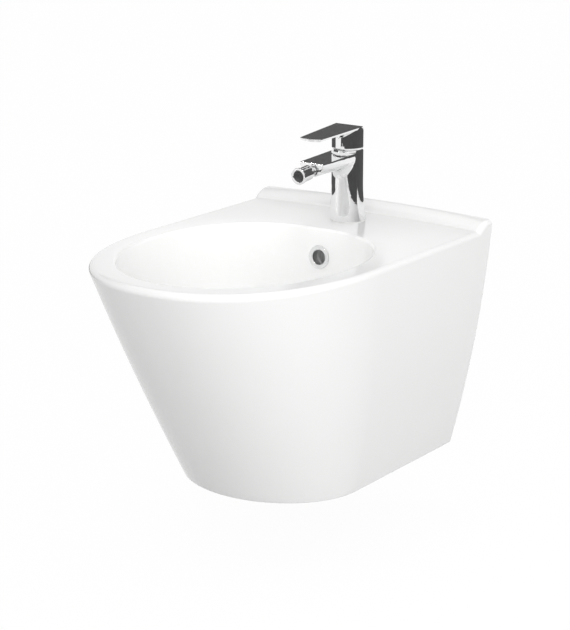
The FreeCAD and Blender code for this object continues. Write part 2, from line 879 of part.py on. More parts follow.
def spindle():
    """Square spindle with a ball tip below the pivot that pushes the disc carrier."""
    half = spindle_square / 2
    tip = Vector(0, axis_y, pivot_z - spindle_tip_below_pivot)
    shoulder = tip.z + spindle_tip_radius
    bar = box(-half, half, axis_y - half, axis_y + half, shoulder, pivot_z + spindle_above_pivot)
    bar = bar.fuse(rod(spindle_neck_radius, tip, Vector(0, axis_y, shoulder + spindle_neck_radius)))
    bar = bar.fuse(Part.makeSphere(spindle_tip_radius, tip))
    return bar.cut(pivot_bar(pivot_pin_radius + slide_fit, spindle_square + cut_margin))


def cartridge_nut():
    """Brass ring nut that holds the cartridge down, with spanner notches."""
    low = cartridge_top_z()
    high = low + nut_height
    nut = ring(nut_thread_radius - slide_fit, nut_bore, 0, axis_y, low, high)
    for turn in (0, 90):
        notch = box(-nut_thread_radius, nut_thread_radius, -nut_notch / 2, nut_notch / 2,
                    high - nut_notch / 2, high)
        notch.rotate(Vector(0, 0, 0), Vector(0, 0, 1), turn)
        notch.translate(Vector(0, axis_y, 0))
        nut = nut.cut(notch)
    return nut


def dome_cap():
    """Plated ring that domes over the cartridge nut, under the lever."""
    centre = Vector(0, axis_y, pivot_z)
    cap = Part.makeSphere(dome_radius, centre)
    cap = cap.cut(Part.makeSphere(dome_radius - dome_thickness, centre))
    around = dome_radius + cut_margin
    cap = cap.cut(upright(around, 0, axis_y, pivot_z - around, mixer_top_z))
    return cap.cut(upright(dome_bore, 0, axis_y, pivot_z, pivot_z + around))


def lever_plan(inset, z):
    """Plan of the lever's plate: straight back, tapering sides and a bowed front, drawn in by an inset."""
    rear = lever_rear_half_width - inset
    front = lever_front_half_width - inset
    front_y = inset - lever_length
    corners = [Vector(-front, front_y, z), Vector(-rear, 0, z), Vector(rear, 0, z), Vector(front, front_y, z)]
    edges = []
    for start, end in zip(corners, corners[1:]):
        edges.append(Part.LineSegment(start, end).toShape())
    bow = Vector(0, front_y - lever_front_arc, z)
    edges.append(Part.Arc(corners[-1], bow, corners[0]).toShape())
    return Part.Wire(edges)


def lever_set(shape):
    """Tilt a piece made flat to the lever's slope, with its rear edge in its place."""
    shape.rotate(Vector(0, 0, 0), Vector(1, 0, 0), lever_slope)
    shape.translate(Vector(0, axis_y + lever_back, deck_z + lever_top_above_deck))
    return shape


def lever_plate():
    """Flat plate of the lever, undercut at its sides, with front corners and upper edges rounded."""
    outlines = [lever_plan(0, 0), lever_plan(lever_undercut, -lever_thickness)]
    plate = Part.makeLoft(outlines, True, True)
    corners = []
    for edge in plate.Edges:
        if edge.BoundBox.ZLength > lever_thickness / 2 and edge.BoundBox.YMax < -lever_length / 2:
            corners.append(edge)
    plate = plate.makeFillet(lever_corner_round, corners)
    upper = []
    for edge in plate.Edges:
        limits = edge.BoundBox
        if limits.ZMin > -lever_thickness / 2 and limits.YMin < -lever_length / 2:
            upper.append(edge)
    return lever_set(plate.makeFillet(lever_edge_round, upper))


def lever_block():
    """Round block of the lever, standing over the mixer and running up into the plate."""
    low = crown_foot_z() + lever_gap
    high = deck_z + lever_top_above_deck + cut_margin
    block = upright(lever_block_radius, 0, axis_y, low, high)
    bottom = [edge for edge in block.Edges if abs(edge.BoundBox.ZMax - low) < same_place]
    block = block.makeFillet(lever_block_round, bottom)
    reach = 3 * lever_block_radius
    return block.cut(lever_set(box(-reach, reach, -reach, reach, -lever_thickness / 4, reach)))


def lever_side(turn):
    """Distance from the block's axis to the plate's side, so many radians off straight ahead."""
    taper = (lever_rear_half_width - lever_front_half_width) / lever_length
    half_width = lever_rear_half_width - taper * lever_back - lever_undercut - lever_neck_overlap
    return half_width / (math.sin(abs(turn)) + taper * math.cos(turn))


def lever_neck_edge(turn):
    """Distance from the block's axis to the neck's edge: its reach in front, the plate's side beyond."""
    ahead = lever_block_radius + lever_neck_reach
    sharpness = 8
    return (ahead ** -sharpness + lever_side(turn) ** -sharpness) ** (-1 / sharpness)


def lever_neck():
    """Concave run from the block out under the plate, deep in front and fading at the sides."""
    under = lever_neck_overlap - lever_thickness
    middle = -lever_thickness / 2
    wall = lever_block_radius - lever_neck_overlap
    inner = lever_block_radius / 2
    step_count = 14
    sections = []
    for k in range(step_count + 1):
        degrees = lever_neck_turn * (2 * k / step_count - 1)
        turn = math.radians(degrees)
        outer = lever_neck_edge(turn)
        foot = under - lever_neck_drop * (1 - abs(degrees) / lever_neck_fade)
        hollow_places = [(wall, foot), (wall, under), (outer, under)]
        points = []
        for off_axis, z in hollow_places + [(outer, middle), (inner, middle), (inner, foot)]:
            points.append(Vector(off_axis * math.sin(turn), -lever_back - off_axis * math.cos(turn), z))
        hollow = Part.BezierCurve()
        hollow.setPoles(points[:3])
        rest = Part.makePolygon(points[2:] + points[:1])
        sections.append(Part.Wire([hollow.toShape()] + rest.Edges))
    return lever_set(Part.makeLoft(sections, True, False))


def lever_solid():
    """Outside of the lever: plate, neck and block, cut to a sloping back."""
    lever = lever_block().fuse(lever_neck()).fuse(lever_plate())
    reach = 3 * lever_block_radius
    behind = box(-reach, reach, 0, reach, -reach, reach)
    behind.rotate(Vector(0, 0, 0), Vector(1, 0, 0), 90 - lever_back_slope)
    behind.translate(Vector(0, axis_y + lever_back, deck_z + lever_top_above_deck))
    return lever.cut(behind)


def lever_bar(radius, start, length):
    """Bar along Y at the height of the clamping screw, from a distance behind the axis."""
    z = deck_z + lever_top_above_deck - lever_screw_below_top
    first = Vector(0, axis_y + start, z)
    return rod(radius, first, first + Vector(0, length, 0))


def lever_handle():
    """Plated metal lever, hollow over the dome, with a square socket for the spindle."""
    lever = lever_solid()
    lever = lever.cut(Part.makeSphere(dome_radius + 2 * part_gap, Vector(0, axis_y, pivot_z)))
    half = spindle_square / 2 + slide_fit
    roof = pivot_z + spindle_above_pivot + lever_socket_roof
    lever = lever.cut(box(-half, half, axis_y - half, axis_y + half, pivot_z, roof))
    lever = lever.cut(lever_bar(lever_screw_radius + slide_fit, 0, lever_block_radius))
    return lever.cut(lever_bar(lever_plug_radius + slide_fit, lever_plug_start, lever_block_radius))


def lever_screw():
    """Grub screw that clamps the lever on the spindle."""
    return lever_bar(lever_screw_radius, spindle_square / 2, lever_screw_length)


def lever_plug():
    """Plain plug that closes the screw's hole, flush with the sloping back."""
    return lever_bar(lever_plug_radius, lever_plug_start, lever_block_radius).common(lever_solid())


def at_nozzle(shape, tilted):
    """Set a piece made along Z at the swivel's centre, with Z forwards out of the spout."""
    tilt = nozzle_tilt if tilted else 0
    shape.rotate(Vector(0, 0, 0), Vector(1, 0, 0), 90 + tilt)
    shape.translate(Vector(0, nozzle_y, nozzle_z))
    return shape


def ball(radius):
    """Sphere at the swivel's centre, before it is set in its place."""
    return Part.makeSphere(radius, Vector(0, 0, 0))


def nozzle_stud():
    """Plated ball stud screwed into the spout, bored for the water."""
    root = -(nozzle_radius + nozzle_gap)
    stud = upright(nozzle_stud_radius, 0, 0, root - nozzle_stud_length, root)
    stud = stud.fuse(upright(nozzle_stud_flange_radius, 0, 0, root, root + nozzle_stud_flange))
    stud = stud.fuse(upright(nozzle_neck_radius, 0, 0, root, 0)).fuse(ball(nozzle_ball_radius))
    bore = upright(nozzle_stud_bore, 0, 0, root - nozzle_stud_length, nozzle_ball_radius)
    return at_nozzle(stud.cut(bore), False)


def nozzle_slip_ring():
    """Plastic slip ring between the ball and the collar that holds it."""
    slip = ball(nozzle_socket_radius - slide_fit).cut(ball(nozzle_ball_radius + slide_fit))
    reach = 2 * nozzle_radius
    zone = box(-reach, reach, -reach, reach, -slip_ring_back, -slip_ring_front)
    return at_nozzle(slip.common(zone), True)


def nozzle_collar():
    """Plated cap nut with a domed back that traps the ball."""
    collar = upright(nozzle_radius, 0, 0, 0, nozzle_collar_front).fuse(ball(nozzle_radius))
    reach = 2 * nozzle_radius
    kept = box(-reach, reach, -reach, reach, -nozzle_mouth_back, nozzle_collar_front)
    collar = collar.common(kept).cut(ball(nozzle_socket_radius))
    collar = collar.cut(upright(nozzle_socket_radius, 0, 0, 0, nozzle_collar_front))
    return at_nozzle(collar.cut(upright(nozzle_mouth, 0, 0, -reach, 0)), True)


def nozzle_seal_ring():
    """Rubber seal pressed on the front of the ball."""
    back = nozzle_spigot_back - nozzle_seal
    seal = upright(nozzle_socket_radius - slide_fit, 0, 0, back, nozzle_spigot_back)
    return at_nozzle(seal.cut(ball(nozzle_ball_radius + slide_fit)), True)


def nozzle_barrel():
    """Plated barrel screwed into the collar, holding the aerator."""
    spigot = upright(nozzle_socket_radius - slide_fit, 0, 0, nozzle_spigot_back, nozzle_collar_front)
    barrel = spigot.fuse(upright(nozzle_radius, 0, 0, nozzle_collar_front, nozzle_barrel_front))
    barrel = barrel.cut(ball(nozzle_ball_radius + part_gap))
    barrel = barrel.cut(upright(nozzle_waterway, 0, 0, 0, aerator_back))
    barrel = barrel.cut(upright(aerator_radius, 0, 0, aerator_back, nozzle_barrel_front))
    return at_nozzle(barrel, True)


def aerator_gasket_ring():
    """Rubber washer behind the aerator."""
    outer = aerator_radius - seat_fit
    gasket = ring(outer, aerator_gasket_bore, 0, 0, aerator_back, aerator_back + aerator_gasket)
    return at_nozzle(gasket, True)


def aerator_insert():
    """Plastic aerator, pierced by a hexagonal field of jets."""
    back = aerator_back + aerator_gasket
    insert = upright(aerator_radius - seat_fit, 0, 0, back, aerator_front)
    rows = int((aerator_radius - 2 * aerator_hole_radius) / aerator_hole_pitch)
    jets = []
    for row in range(-rows, rows + 1):
        y = row * aerator_hole_pitch * math.sqrt(3) / 2
        for column in range(-rows, rows + 1):
            x = (column + (row % 2) / 2) * aerator_hole_pitch
            if math.hypot(x, y) < aerator_radius - aerator_rim:
                jets.append(upright(aerator_hole_radius, x, y, back, aerator_front))
    return at_nozzle(insert.cut(Part.makeCompound(jets)), True)


def nozzle_end_ring():
    """Plated end ring that keeps the aerator in the barrel."""
    front = nozzle_barrel_front + end_ring
    end = upright(end_ring_radius, 0, 0, nozzle_barrel_front, front)
    bright = [edge for edge in end.Edges if edge.BoundBox.ZLength < same_place]
    end = end.makeFillet(end_ring_round, bright)
    spigot = upright(aerator_radius - slide_fit, 0, 0, aerator_front, nozzle_barrel_front)
    end = end.fuse(spigot).cut(upright(end_ring_bore, 0, 0, aerator_front, front))
    inside = [edge for edge in end.Edges if abs(edge.BoundBox.ZMin - front) < same_place]
    return at_nozzle(end.makeChamfer(end_ring_round, inside[-1:]), True)


def flange_top():
    """Top of the waste's flange."""
    return bowl_floor_z + waste_seal + waste_flange


def waste_upper_seal():
    """Rubber ring under the waste's flange."""
    outer = waste_flange_radius - waste_seal_inset
    return ring(outer, waste_hole_radius, 0, waste_y, bowl_floor_z, bowl_floor_z + waste_seal)


def waste_body():
    """Plated brass waste with its flange, overflow slots, bridge and grooved, threaded tail."""
    top = flange_top()
    tail_end = top - waste_tail_length
    waste = upright(waste_flange_radius, 0, waste_y, top - waste_flange, top)
    rounded = [edge for edge in waste.Edges if abs(edge.BoundBox.ZMin - top) < same_place]
    waste = waste.makeFillet(waste_flange_round, rounded)
    waste = waste.fuse(upright(waste_tail_radius, 0, waste_y, tail_end, top - waste_flange))
    groove_top = backnut_low() - tail_groove_below_nut
    waste = waste.cut(ring(waste_tail_radius + part_gap, waste_tail_radius - tail_groove_depth, 0, waste_y,
                           groove_top - tail_groove, groove_top))
    waste = waste.cut(upright(waste_tail_bore, 0, waste_y, tail_end, top))
    slot_top = bowl_floor_z - bowl_wall - part_gap
    reach = 2 * waste_tail_radius
    slots = box(-reach, reach, waste_y - waste_slot_width / 2, waste_y + waste_slot_width / 2,
                slot_top - waste_slot_height, slot_top)
    waste = waste.cut(slots)
    bridge_top = top - bridge_drop
    bridge_low = bridge_top - bridge_height
    bridge = upright(bridge_boss_radius, 0, waste_y, bridge_low, bridge_top)
    for k in range(spoke_count):
        half = spoke_width / 2
        spoke = box(-half, half, 0, waste_tail_bore + slide_fit, bridge_low, bridge_top)
        spoke.rotate(Vector(0, 0, 0), Vector(0, 0, 1), 360 * k / spoke_count)
        spoke.translate(Vector(0, waste_y, 0))
        bridge = bridge.fuse(spoke)
    waste = waste.fuse(bridge)
    return waste.cut(upright(click_radius + slide_fit, 0, waste_y, bridge_low, bridge_top))


def backnut_low():
    """Underside of the nut on the waste's tail."""
    return boss_bottom_z - lower_seal - backnut_height


def waste_lower_seal():
    """Rubber washer under the ceramic."""
    low = boss_bottom_z - lower_seal
    return ring(lower_seal_radius, waste_tail_radius + seat_fit, 0, waste_y, low, boss_bottom_z)


def waste_backnut():
    """Brass nut on the waste's tail that pulls it tight."""
    low = backnut_low()
    high = low + backnut_height
    nut = hexagon(backnut_flats, 0, waste_y, low, high)
    return nut.cut(upright(waste_tail_radius + slide_fit, 0, waste_y, low, high))


def click_low():
    """Lower end of the click mechanism's sleeve."""
    return flange_top() - click_below_flange - click_length


def waste_click_sleeve():
    """Brass sleeve of the click mechanism, screwed into the bridge."""
    low = click_low()
    high = low + click_length
    sleeve = upright(click_radius, 0, waste_y, low, high)
    sleeve = sleeve.cut(upright(click_bore, 0, waste_y, low + click_floor, high - click_lip))
    return sleeve.cut(upright(plug_stem_radius + seat_fit, 0, waste_y, high - click_lip, high))


def plug_collar_low():
    """Underside of the plug's guide collar with the plug down."""
    sleeve_top = click_low() + click_length
    return sleeve_top - click_lip - part_gap - plug_travel - plug_collar


def waste_plug():
    """Plated plug: shallow dome on a stem, with a guide collar that rides in the sleeve."""
    under = flange_top() + plug_seal
    collar_low = plug_collar_low()
    edge_top = under + plug_edge
    dome_rise = plug_thickness - plug_edge
    sphere = (plug_radius ** 2 + dome_rise ** 2) / (2 * dome_rise)
    dome = Part.makeSphere(sphere, Vector(0, waste_y, edge_top + dome_rise - sphere))
    cap = dome.common(upright(plug_radius, 0, waste_y, under, edge_top + plug_thickness))
    edges = [edge for edge in cap.Edges if edge.BoundBox.ZLength < same_place]
    cap = cap.makeFillet(plug_edge_round, edges)
    stem = upright(plug_stem_radius, 0, waste_y, collar_low, under + plug_edge / 2)
    collar = upright(click_bore - seat_fit, 0, waste_y, collar_low, collar_low + plug_collar)
    return cap.fuse(stem).fuse(collar)


def plug_seal_ring():
    """Rubber ring under the plug that closes on the flange."""
    low = flange_top()
    return ring(plug_seal_radius, plug_seal_bore, 0, waste_y, low, low + plug_seal)


def waste_spring():
    """Coil spring under the plug's collar, wound with quarter-turn arcs."""
    low = click_low() + click_floor
    high = plug_collar_low()
    start_z = low + spring_wire / 2 + seat_fit / 2
    rise = high - low - spring_wire - seat_fit
    quarters = 4 * spring_turns

    def place(quarter):
        turn = math.pi / 2 * quarter
        x = spring_radius * math.cos(turn)
        y = waste_y + spring_radius * math.sin(turn)
        return Vector(x, y, start_z + rise * quarter / quarters)

    arcs = []
    for k in range(quarters):
        arcs.append(Part.Arc(place(k), place(k + 0.5), place(k + 1)).toShape())
    path = Part.Wire(arcs)
    section = Part.Circle(place(0), arcs[0].tangentAt(arcs[0].FirstParameter), spring_wire / 2)
    return path.makePipeShell([Part.Wire([section.toShape()])], True, False)


PIECES = {
    "ceramic_body": ceramic_body,
    "overflow_ring": overflow_ring,
    "fixing_sleeves": fixing_sleeves,
    "fixing_washers": fixing_washers,
    "fixing_nuts": fixing_nuts,
    "mixer_body": mixer_body,
    "mixer_base_seal": mixer_base_seal,
    "mixer_stud": mixer_stud,
    "clamp_seal": clamp_seal_ring,
    "clamp_plate": clamp_plate_ring,
    "mixer_nut": mixer_nut,
    "cartridge_base": cartridge_base_plate,
    "cartridge_seals": cartridge_seals,
    "cartridge_housing": cartridge_housing,
    "fixed_disc": fixed_disc,
    "moving_disc": moving_disc,
    "disc_carrier": disc_carrier,
    "rotor": rotor,
    "pivot_pin": pivot_pin,
    "spindle": spindle,
    "cartridge_nut": cartridge_nut,
    "dome_cap": dome_cap,
    "lever_handle": lever_handle,
    "lever_screw": lever_screw,
    "lever_plug": lever_plug,
    "nozzle_stud": nozzle_stud,
    "nozzle_slip_ring": nozzle_slip_ring,
    "nozzle_collar": nozzle_collar,
    "nozzle_seal": nozzle_seal_ring,
    "nozzle_barrel": nozzle_barrel,
    "aerator_gasket": aerator_gasket_ring,
    "aerator_insert": aerator_insert,
    "nozzle_end_ring": nozzle_end_ring,
    "waste_body": waste_body,
    "waste_upper_seal": waste_upper_seal,
    "waste_lower_seal": waste_lower_seal,
    "waste_backnut": waste_backnut,
    "waste_click_sleeve": waste_click_sleeve,
    "waste_plug": waste_plug,
    "plug_seal": plug_seal_ring,
    "waste_spring": waste_spring,
}

os.makedirs("parts", exist_ok=True)
for name, make in PIECES.items():
    shape = make()
    solids = shape.Solids
    volume = sum(solid.Volume for solid in solids)
    print(name, "solids", len(solids), "valid", shape.isValid(), "cm3", round(volume / 1000, 2))
    piece = solids[0] if len(solids) == 1 else Part.makeCompound(solids)
    piece.exportStep("parts/" + name + ".step")
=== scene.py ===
import math

import bpy
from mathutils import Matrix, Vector


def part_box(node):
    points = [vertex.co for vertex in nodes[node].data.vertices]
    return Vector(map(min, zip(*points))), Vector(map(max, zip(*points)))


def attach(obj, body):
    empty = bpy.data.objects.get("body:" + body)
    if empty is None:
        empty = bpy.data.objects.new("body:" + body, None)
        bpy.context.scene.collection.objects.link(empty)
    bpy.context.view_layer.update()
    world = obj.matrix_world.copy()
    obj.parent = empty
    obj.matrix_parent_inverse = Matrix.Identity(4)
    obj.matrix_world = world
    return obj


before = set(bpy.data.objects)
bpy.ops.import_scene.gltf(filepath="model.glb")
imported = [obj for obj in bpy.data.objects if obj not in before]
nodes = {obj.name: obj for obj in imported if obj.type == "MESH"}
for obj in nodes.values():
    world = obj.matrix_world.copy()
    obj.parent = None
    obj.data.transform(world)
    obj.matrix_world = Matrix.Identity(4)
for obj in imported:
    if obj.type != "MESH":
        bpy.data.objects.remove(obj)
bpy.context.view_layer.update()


# Ceramic body: vitreous china, slip-cast in one piece and fired under a thick white glaze.
# It hangs on two studs with its flat back against the wall. The glaze pools very slightly,
# has a few pinholes and stays glossy.

class Link:
    """An output of a shader node. Sums and products with links or numbers add Math nodes."""

    def __init__(self, finish, output):
        self.finish = finish
        self.output = output

    def combine(self, operation, first, second):
        return self.finish.add("ShaderNodeMath", {"operation": operation}, {0: first, 1: second})

    def __add__(self, other):
        return self.combine("ADD", self, other)

    def __radd__(self, other):
        return self.combine("ADD", other, self)

    def __mul__(self, other):
        return self.combine("MULTIPLY", self, other)

    def __rmul__(self, other):
        return self.combine("MULTIPLY", other, self)

    def limited(self, low, high):
        """The share of the way from low to high, held between 0 and 1."""
        settings = {"clamp": True}
        values = {"Value": self, "From Min": low, "From Max": high}
        return self.finish.add("ShaderNodeMapRange", settings, values)


class Finish:
    """A surface finish: one material, its shader and the nodes that vary it."""

    def __init__(self, name):
        self.material = bpy.data.materials.new(name)
        self.material.use_nodes = True
        self.tree = self.material.node_tree
        self.shader = self.tree.nodes["Principled BSDF"]
        self.place = self.add("ShaderNodeTexCoord", {}, {}, "Object")

    def add(self, kind, settings, values, output=0):
        """A node of a kind, with its settings, then its sockets' values or links."""
        node = self.tree.nodes.new(kind)
        for name, value in settings.items():
            setattr(node, name, value)
        for key, value in values.items():
            self.put(node.inputs[key], value)
        return Link(self, node.outputs[output])

    def put(self, socket, value):
        """A link or a plain value on a socket."""
        if isinstance(value, Link):
            self.tree.links.new(value.output, socket)
        else:
            socket.default_value = value

    def noise(self, scale, detail):
        """Soft noise with so many lumps to the metre."""
        values = {"Vector": self.place, "Scale": scale, "Detail": detail}
        return self.add("ShaderNodeTexNoise", {}, values, "Fac")

    def blend(self, share, first, second):
        """A colour between two colours, which a Mix node takes on its sockets 6 and 7."""
        mixed_colour = 2
        values = {0: share, 6: first, 7: second}
        return self.add("ShaderNodeMix", {"data_type": "RGBA"}, values, mixed_colour)

    def relief(self, height, depth, strength):
        """A bumped normal from a height."""
        values = {"Height": height, "Distance": depth, "Strength": strength}
        return self.add("ShaderNodeBump", {}, values)

    def surface(self, values):
        """Values or links on the shader itself."""
        for name, value in values.items():
            self.put(self.shader.inputs[name], value)
        return self.material


def glazed_china():
    finish = Finish("glazed_china")
    thin_white = (0.815, 0.815, 0.81, 1)
    pooled_white = (0.84, 0.84, 0.838, 1)
    pinhole_grey = (0.6, 0.59, 0.57, 1)
    pinhole_strength = 0.06
    pooling = finish.noise(scale=7.0, detail=2.0)
    waviness = finish.noise(scale=22.0, detail=1.0)
    pinholes = finish.noise(scale=900.0, detail=1.0).limited(low=0.74, high=0.8)
    white = finish.blend(pooling, thin_white, pooled_white)
    return finish.surface({
        "Base Color": finish.blend(pinholes * pinhole_strength, white, pinhole_grey),
        "Roughness": 0.1 + pooling * 0.06,
        "IOR": 1.5,
        "Specular IOR Level": 0.3,
        "Normal": finish.relief(waviness, depth=0.0006, strength=0.05),
    })


def dress(material, *names):
    """Give CAD nodes a finish."""
    for name in names:
        nodes[name].material_slots[0].material = material


def wire(tree, pairs):
    """Link outputs in a node tree to the inputs they feed."""
    for source, target in pairs:
        tree.links.new(source, target)


def even_shading(angle):
    """Node tree that joins loose triangles and shades across edges flatter than an angle."""
    weld_distance = 0.000005
    tree = bpy.data.node_groups.new("even_shading", "GeometryNodeTree")
    for direction in ("INPUT", "OUTPUT"):
        tree.interface.new_socket("Geometry", in_out=direction, socket_type="NodeSocketGeometry")
    start = tree.nodes.new("NodeGroupInput")
    joined = tree.nodes.new("GeometryNodeMergeByDistance")
    joined.inputs["Distance"].default_value = weld_distance
    edge_angle = tree.nodes.new("GeometryNodeInputMeshEdgeAngle")
    flat = tree.nodes.new("FunctionNodeCompare")
    flat.operation = "LESS_THAN"
    flat.inputs[1].default_value = angle
    faces = tree.nodes.new("GeometryNodeSetShadeSmooth")
    edges = tree.nodes.new("GeometryNodeSetShadeSmooth")
    edges.domain = "EDGE"
    end = tree.nodes.new("NodeGroupOutput")
    wire(tree, [
        (start.outputs[0], joined.inputs[0]),
        (joined.outputs[0], faces.inputs[0]),
        (faces.outputs[0], edges.inputs[0]),
        (edge_angle.outputs["Unsigned Angle"], flat.inputs[0]),
        (flat.outputs[0], edges.inputs["Shade Smooth"]),
        (edges.outputs[0], end.inputs[0]),
    ])
    return tree


# The lever's flats meet at shallow angles, so it keeps more of its edges sharp.
shading = even_shading(math.radians(28))
crisp_shading = even_shading(math.radians(11))
for name, node in nodes.items():
    modifier = node.modifiers.new("even_shading", "NODES")
    modifier.node_group = crisp_shading if name == "lever_handle" else shading
    flats = node.modifiers.new("flat_faces", "WEIGHTED_NORMAL")
    flats.keep_sharp = True

dress(glazed_china(), "ceramic_body")


# Mixer, lever, swivel nozzle, overflow ring and waste: cast or turned brass, polished and
# plated with bright chrome. The mixer is clamped to the deck, the ring and the waste sit in
# the bowl's holes. Handling leaves a faint haze that only shows in the gloss.

def bright_chrome():
    finish = Finish("bright_chrome")
    cool_silver = (0.86, 0.865, 0.87, 1)
    clear_silver = (0.9, 0.9, 0.9, 1)
    haze = finish.noise(scale=60.0, detail=3.0).limited(low=0.45, high=0.8)
    tone = finish.noise(scale=15.0, detail=1.0)
    return finish.surface({
        "Base Color": finish.blend(tone, cool_silver, clear_silver),
        "Metallic": 1.0,
        "Roughness": 0.03 + haze * 0.04,
    })


chrome = bright_chrome()
dress(chrome, "overflow_ring", "mixer_body", "dome_cap", "lever_handle", "lever_plug", "nozzle_stud",
      "nozzle_collar", "nozzle_barrel", "nozzle_end_ring", "waste_body", "waste_plug")


# Waste tail's screw thread: ridges cut in the plated brass below the backnut, where the trap is
# screwed on. One helix is swept with a small diamond that is mostly sunk in the metal.

def thread_tree():
    """Node tree that winds a ridge upwards about Z, starting at a given point of the axis."""
    steps_per_turn = 48
    diamond_corners = 4
    tree = bpy.data.node_groups.new("screw_thread", "GeometryNodeTree")
    for name in ("Radius", "Length", "Turns", "Ridge"):
        tree.interface.new_socket(name, in_out="INPUT", socket_type="NodeSocketFloat")
    tree.interface.new_socket("Start", in_out="INPUT", socket_type="NodeSocketVector")
    tree.interface.new_socket("Material", in_out="INPUT", socket_type="NodeSocketMaterial")
    tree.interface.new_socket("Geometry", in_out="OUTPUT", socket_type="NodeSocketGeometry")
    inputs = tree.nodes.new("NodeGroupInput").outputs
    helix = tree.nodes.new("GeometryNodeCurveSpiral")
    helix.inputs["Resolution"].default_value = steps_per_turn
    upright = tree.nodes.new("GeometryNodeSetCurveNormal")
    upright.mode = "Z_UP"
    diamond = tree.nodes.new("GeometryNodeCurvePrimitiveCircle")
    diamond.inputs["Resolution"].default_value = diamond_corners
    sweep = tree.nodes.new("GeometryNodeCurveToMesh")
    sweep.inputs["Fill Caps"].default_value = True
    placed = tree.nodes.new("GeometryNodeTransform")
    whole = tree.nodes.new("GeometryNodeRealizeInstances")
    finished = tree.nodes.new("GeometryNodeSetMaterial")
    end = tree.nodes.new("NodeGroupOutput")
    wire(tree, [
        (inputs["Radius"], helix.inputs["Start Radius"]),
        (inputs["Radius"], helix.inputs["End Radius"]),
        (inputs["Length"], helix.inputs["Height"]),
        (inputs["Turns"], helix.inputs["Rotations"]),
        (inputs["Ridge"], diamond.inputs["Radius"]),
        (helix.outputs["Curve"], upright.inputs["Curve"]),
        (upright.outputs["Curve"], sweep.inputs["Curve"]),
        (diamond.outputs["Curve"], sweep.inputs["Profile Curve"]),
        (sweep.outputs["Mesh"], placed.inputs["Geometry"]),
        (inputs["Start"], placed.inputs["Translation"]),
        (placed.outputs["Geometry"], whole.inputs["Geometry"]),
        (whole.outputs["Geometry"], finished.inputs["Geometry"]),
        (inputs["Material"], finished.inputs["Material"]),
        (finished.outputs["Geometry"], end.inputs["Geometry"]),
    ])
    return tree


threads = thread_tree()


def new_object(name, data):
    """An object of the scene."""
    made = bpy.data.objects.new(name, data)
    bpy.context.scene.collection.objects.link(made)
    return made


def screw_thread(name, radius, axis_y, low, high, pitch, material):
    """A thread about an upright axis, between two heights, on a fixed piece of a radius."""
    ridge = pitch * 0.3
    sunk = ridge * 0.6
    values = {"Radius": radius - sunk, "Length": high - low, "Turns": (high - low) / pitch,
              "Ridge": ridge, "Start": (0, axis_y, low), "Material": material}
    carrier = new_object(name + "_path", bpy.data.meshes.new(name + "_path"))
    modifier = carrier.modifiers.new("thread", "NODES")
    modifier.node_group = threads
    for item in threads.interface.items_tree:
        if item.name in values:
            modifier[item.identifier] = values[item.name]
    settled = carrier.evaluated_get(bpy.context.evaluated_depsgraph_get())
    mesh = bpy.data.meshes.new_from_object(settled)
    bpy.data.objects.remove(carrier)
    thread = new_object(name, mesh)
    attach(thread, "bidet")


tail_radius = 0.02095
tail_pitch = 0.002309
tail_y = -0.235
tail_margin = 0.003
tail_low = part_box("waste_body")[0].z + tail_margin
tail_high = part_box("waste_backnut")[0].z - tail_margin
screw_thread("waste_tail_thread", tail_radius, tail_y, tail_low, tail_high, tail_pitch,
             chrome)


# Nuts and the click sleeve: bare brass, turned, with the lathe's fine marks left on it.
# The nuts clamp the mixer, its cartridge and the waste; the sleeve sits inside the waste.

def turned_brass():
    finish = Finish("turned_brass")
    dark_brass = (0.62, 0.44, 0.18, 1)
    bright_brass = (0.74, 0.57, 0.27, 1)
    tarnish = finish.noise(scale=40.0, detail=4.0)
    tool_marks = finish.noise(scale=1500.0, detail=0.0)
    return finish.surface({
        "Base Color": finish.blend(tarnish, dark_brass, bright_brass),
        "Metallic": 1.0,
        "Roughness": 0.22 + tarnish * 0.2,
        "Normal": finish.relief(tool_marks, depth=0.0001, strength=0.1),
    })


dress(turned_brass(), "mixer_nut", "cartridge_nut", "waste_backnut", "waste_click_sleeve")


# Washers, nuts, stud, clamp plate, pin, spindle, screw and spring: steel with a dull zinc plate.
# They hold the body to the wall and the mixer to the deck, and work the lever and the plug.

def zinc_plate():
    finish = Finish("zinc_plate")
    dull_zinc = (0.48, 0.49, 0.5, 1)
    light_zinc = (0.62, 0.63, 0.64, 1)
    spangle = finish.noise(scale=220.0, detail=3.0)
    return finish.surface({
        "Base Color": finish.blend(spangle, dull_zinc, light_zinc),
        "Metallic": 1.0,
        "Roughness": 0.28 + spangle * 0.18,
    })


zinc = zinc_plate()
dress(zinc, "fixing_washers", "fixing_nuts", "mixer_stud", "clamp_plate", "pivot_pin", "spindle",
      "lever_screw", "waste_spring")


# Mixer stud's screw thread: rolled in the zinc-plated steel. It shows below the nut that clamps
# the mixer from under the deck.

stud_corner, stud_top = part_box("mixer_stud")
stud_radius = (stud_top.x - stud_corner.x) / 2
stud_pitch = 0.00125
stud_y = (stud_corner.y + stud_top.y) / 2
stud_chamfer = 0.0008
nut_clearance = 0.0005
stud_low = stud_corner.z + stud_chamfer
stud_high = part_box("mixer_nut")[0].z - nut_clearance
screw_thread("mixer_stud_thread", stud_radius, stud_y, stud_low, stud_high, stud_pitch, zinc)


# Seals and gaskets: black nitrile rubber, moulded, with a dusty matt skin. They are squeezed
# between the fittings and the china, and inside the cartridge, the nozzle and the plug.

def black_rubber():
    finish = Finish("black_rubber")
    clean_black = (0.012, 0.012, 0.012, 1)
    dusty_black = (0.035, 0.034, 0.033, 1)
    dust = finish.noise(scale=300.0, detail=4.0)
    return finish.surface({
        "Base Color": finish.blend(dust, clean_black, dusty_black),
        "Roughness": 0.6 + dust * 0.2,
        "Normal": finish.relief(dust, depth=0.0002, strength=0.2),
    })


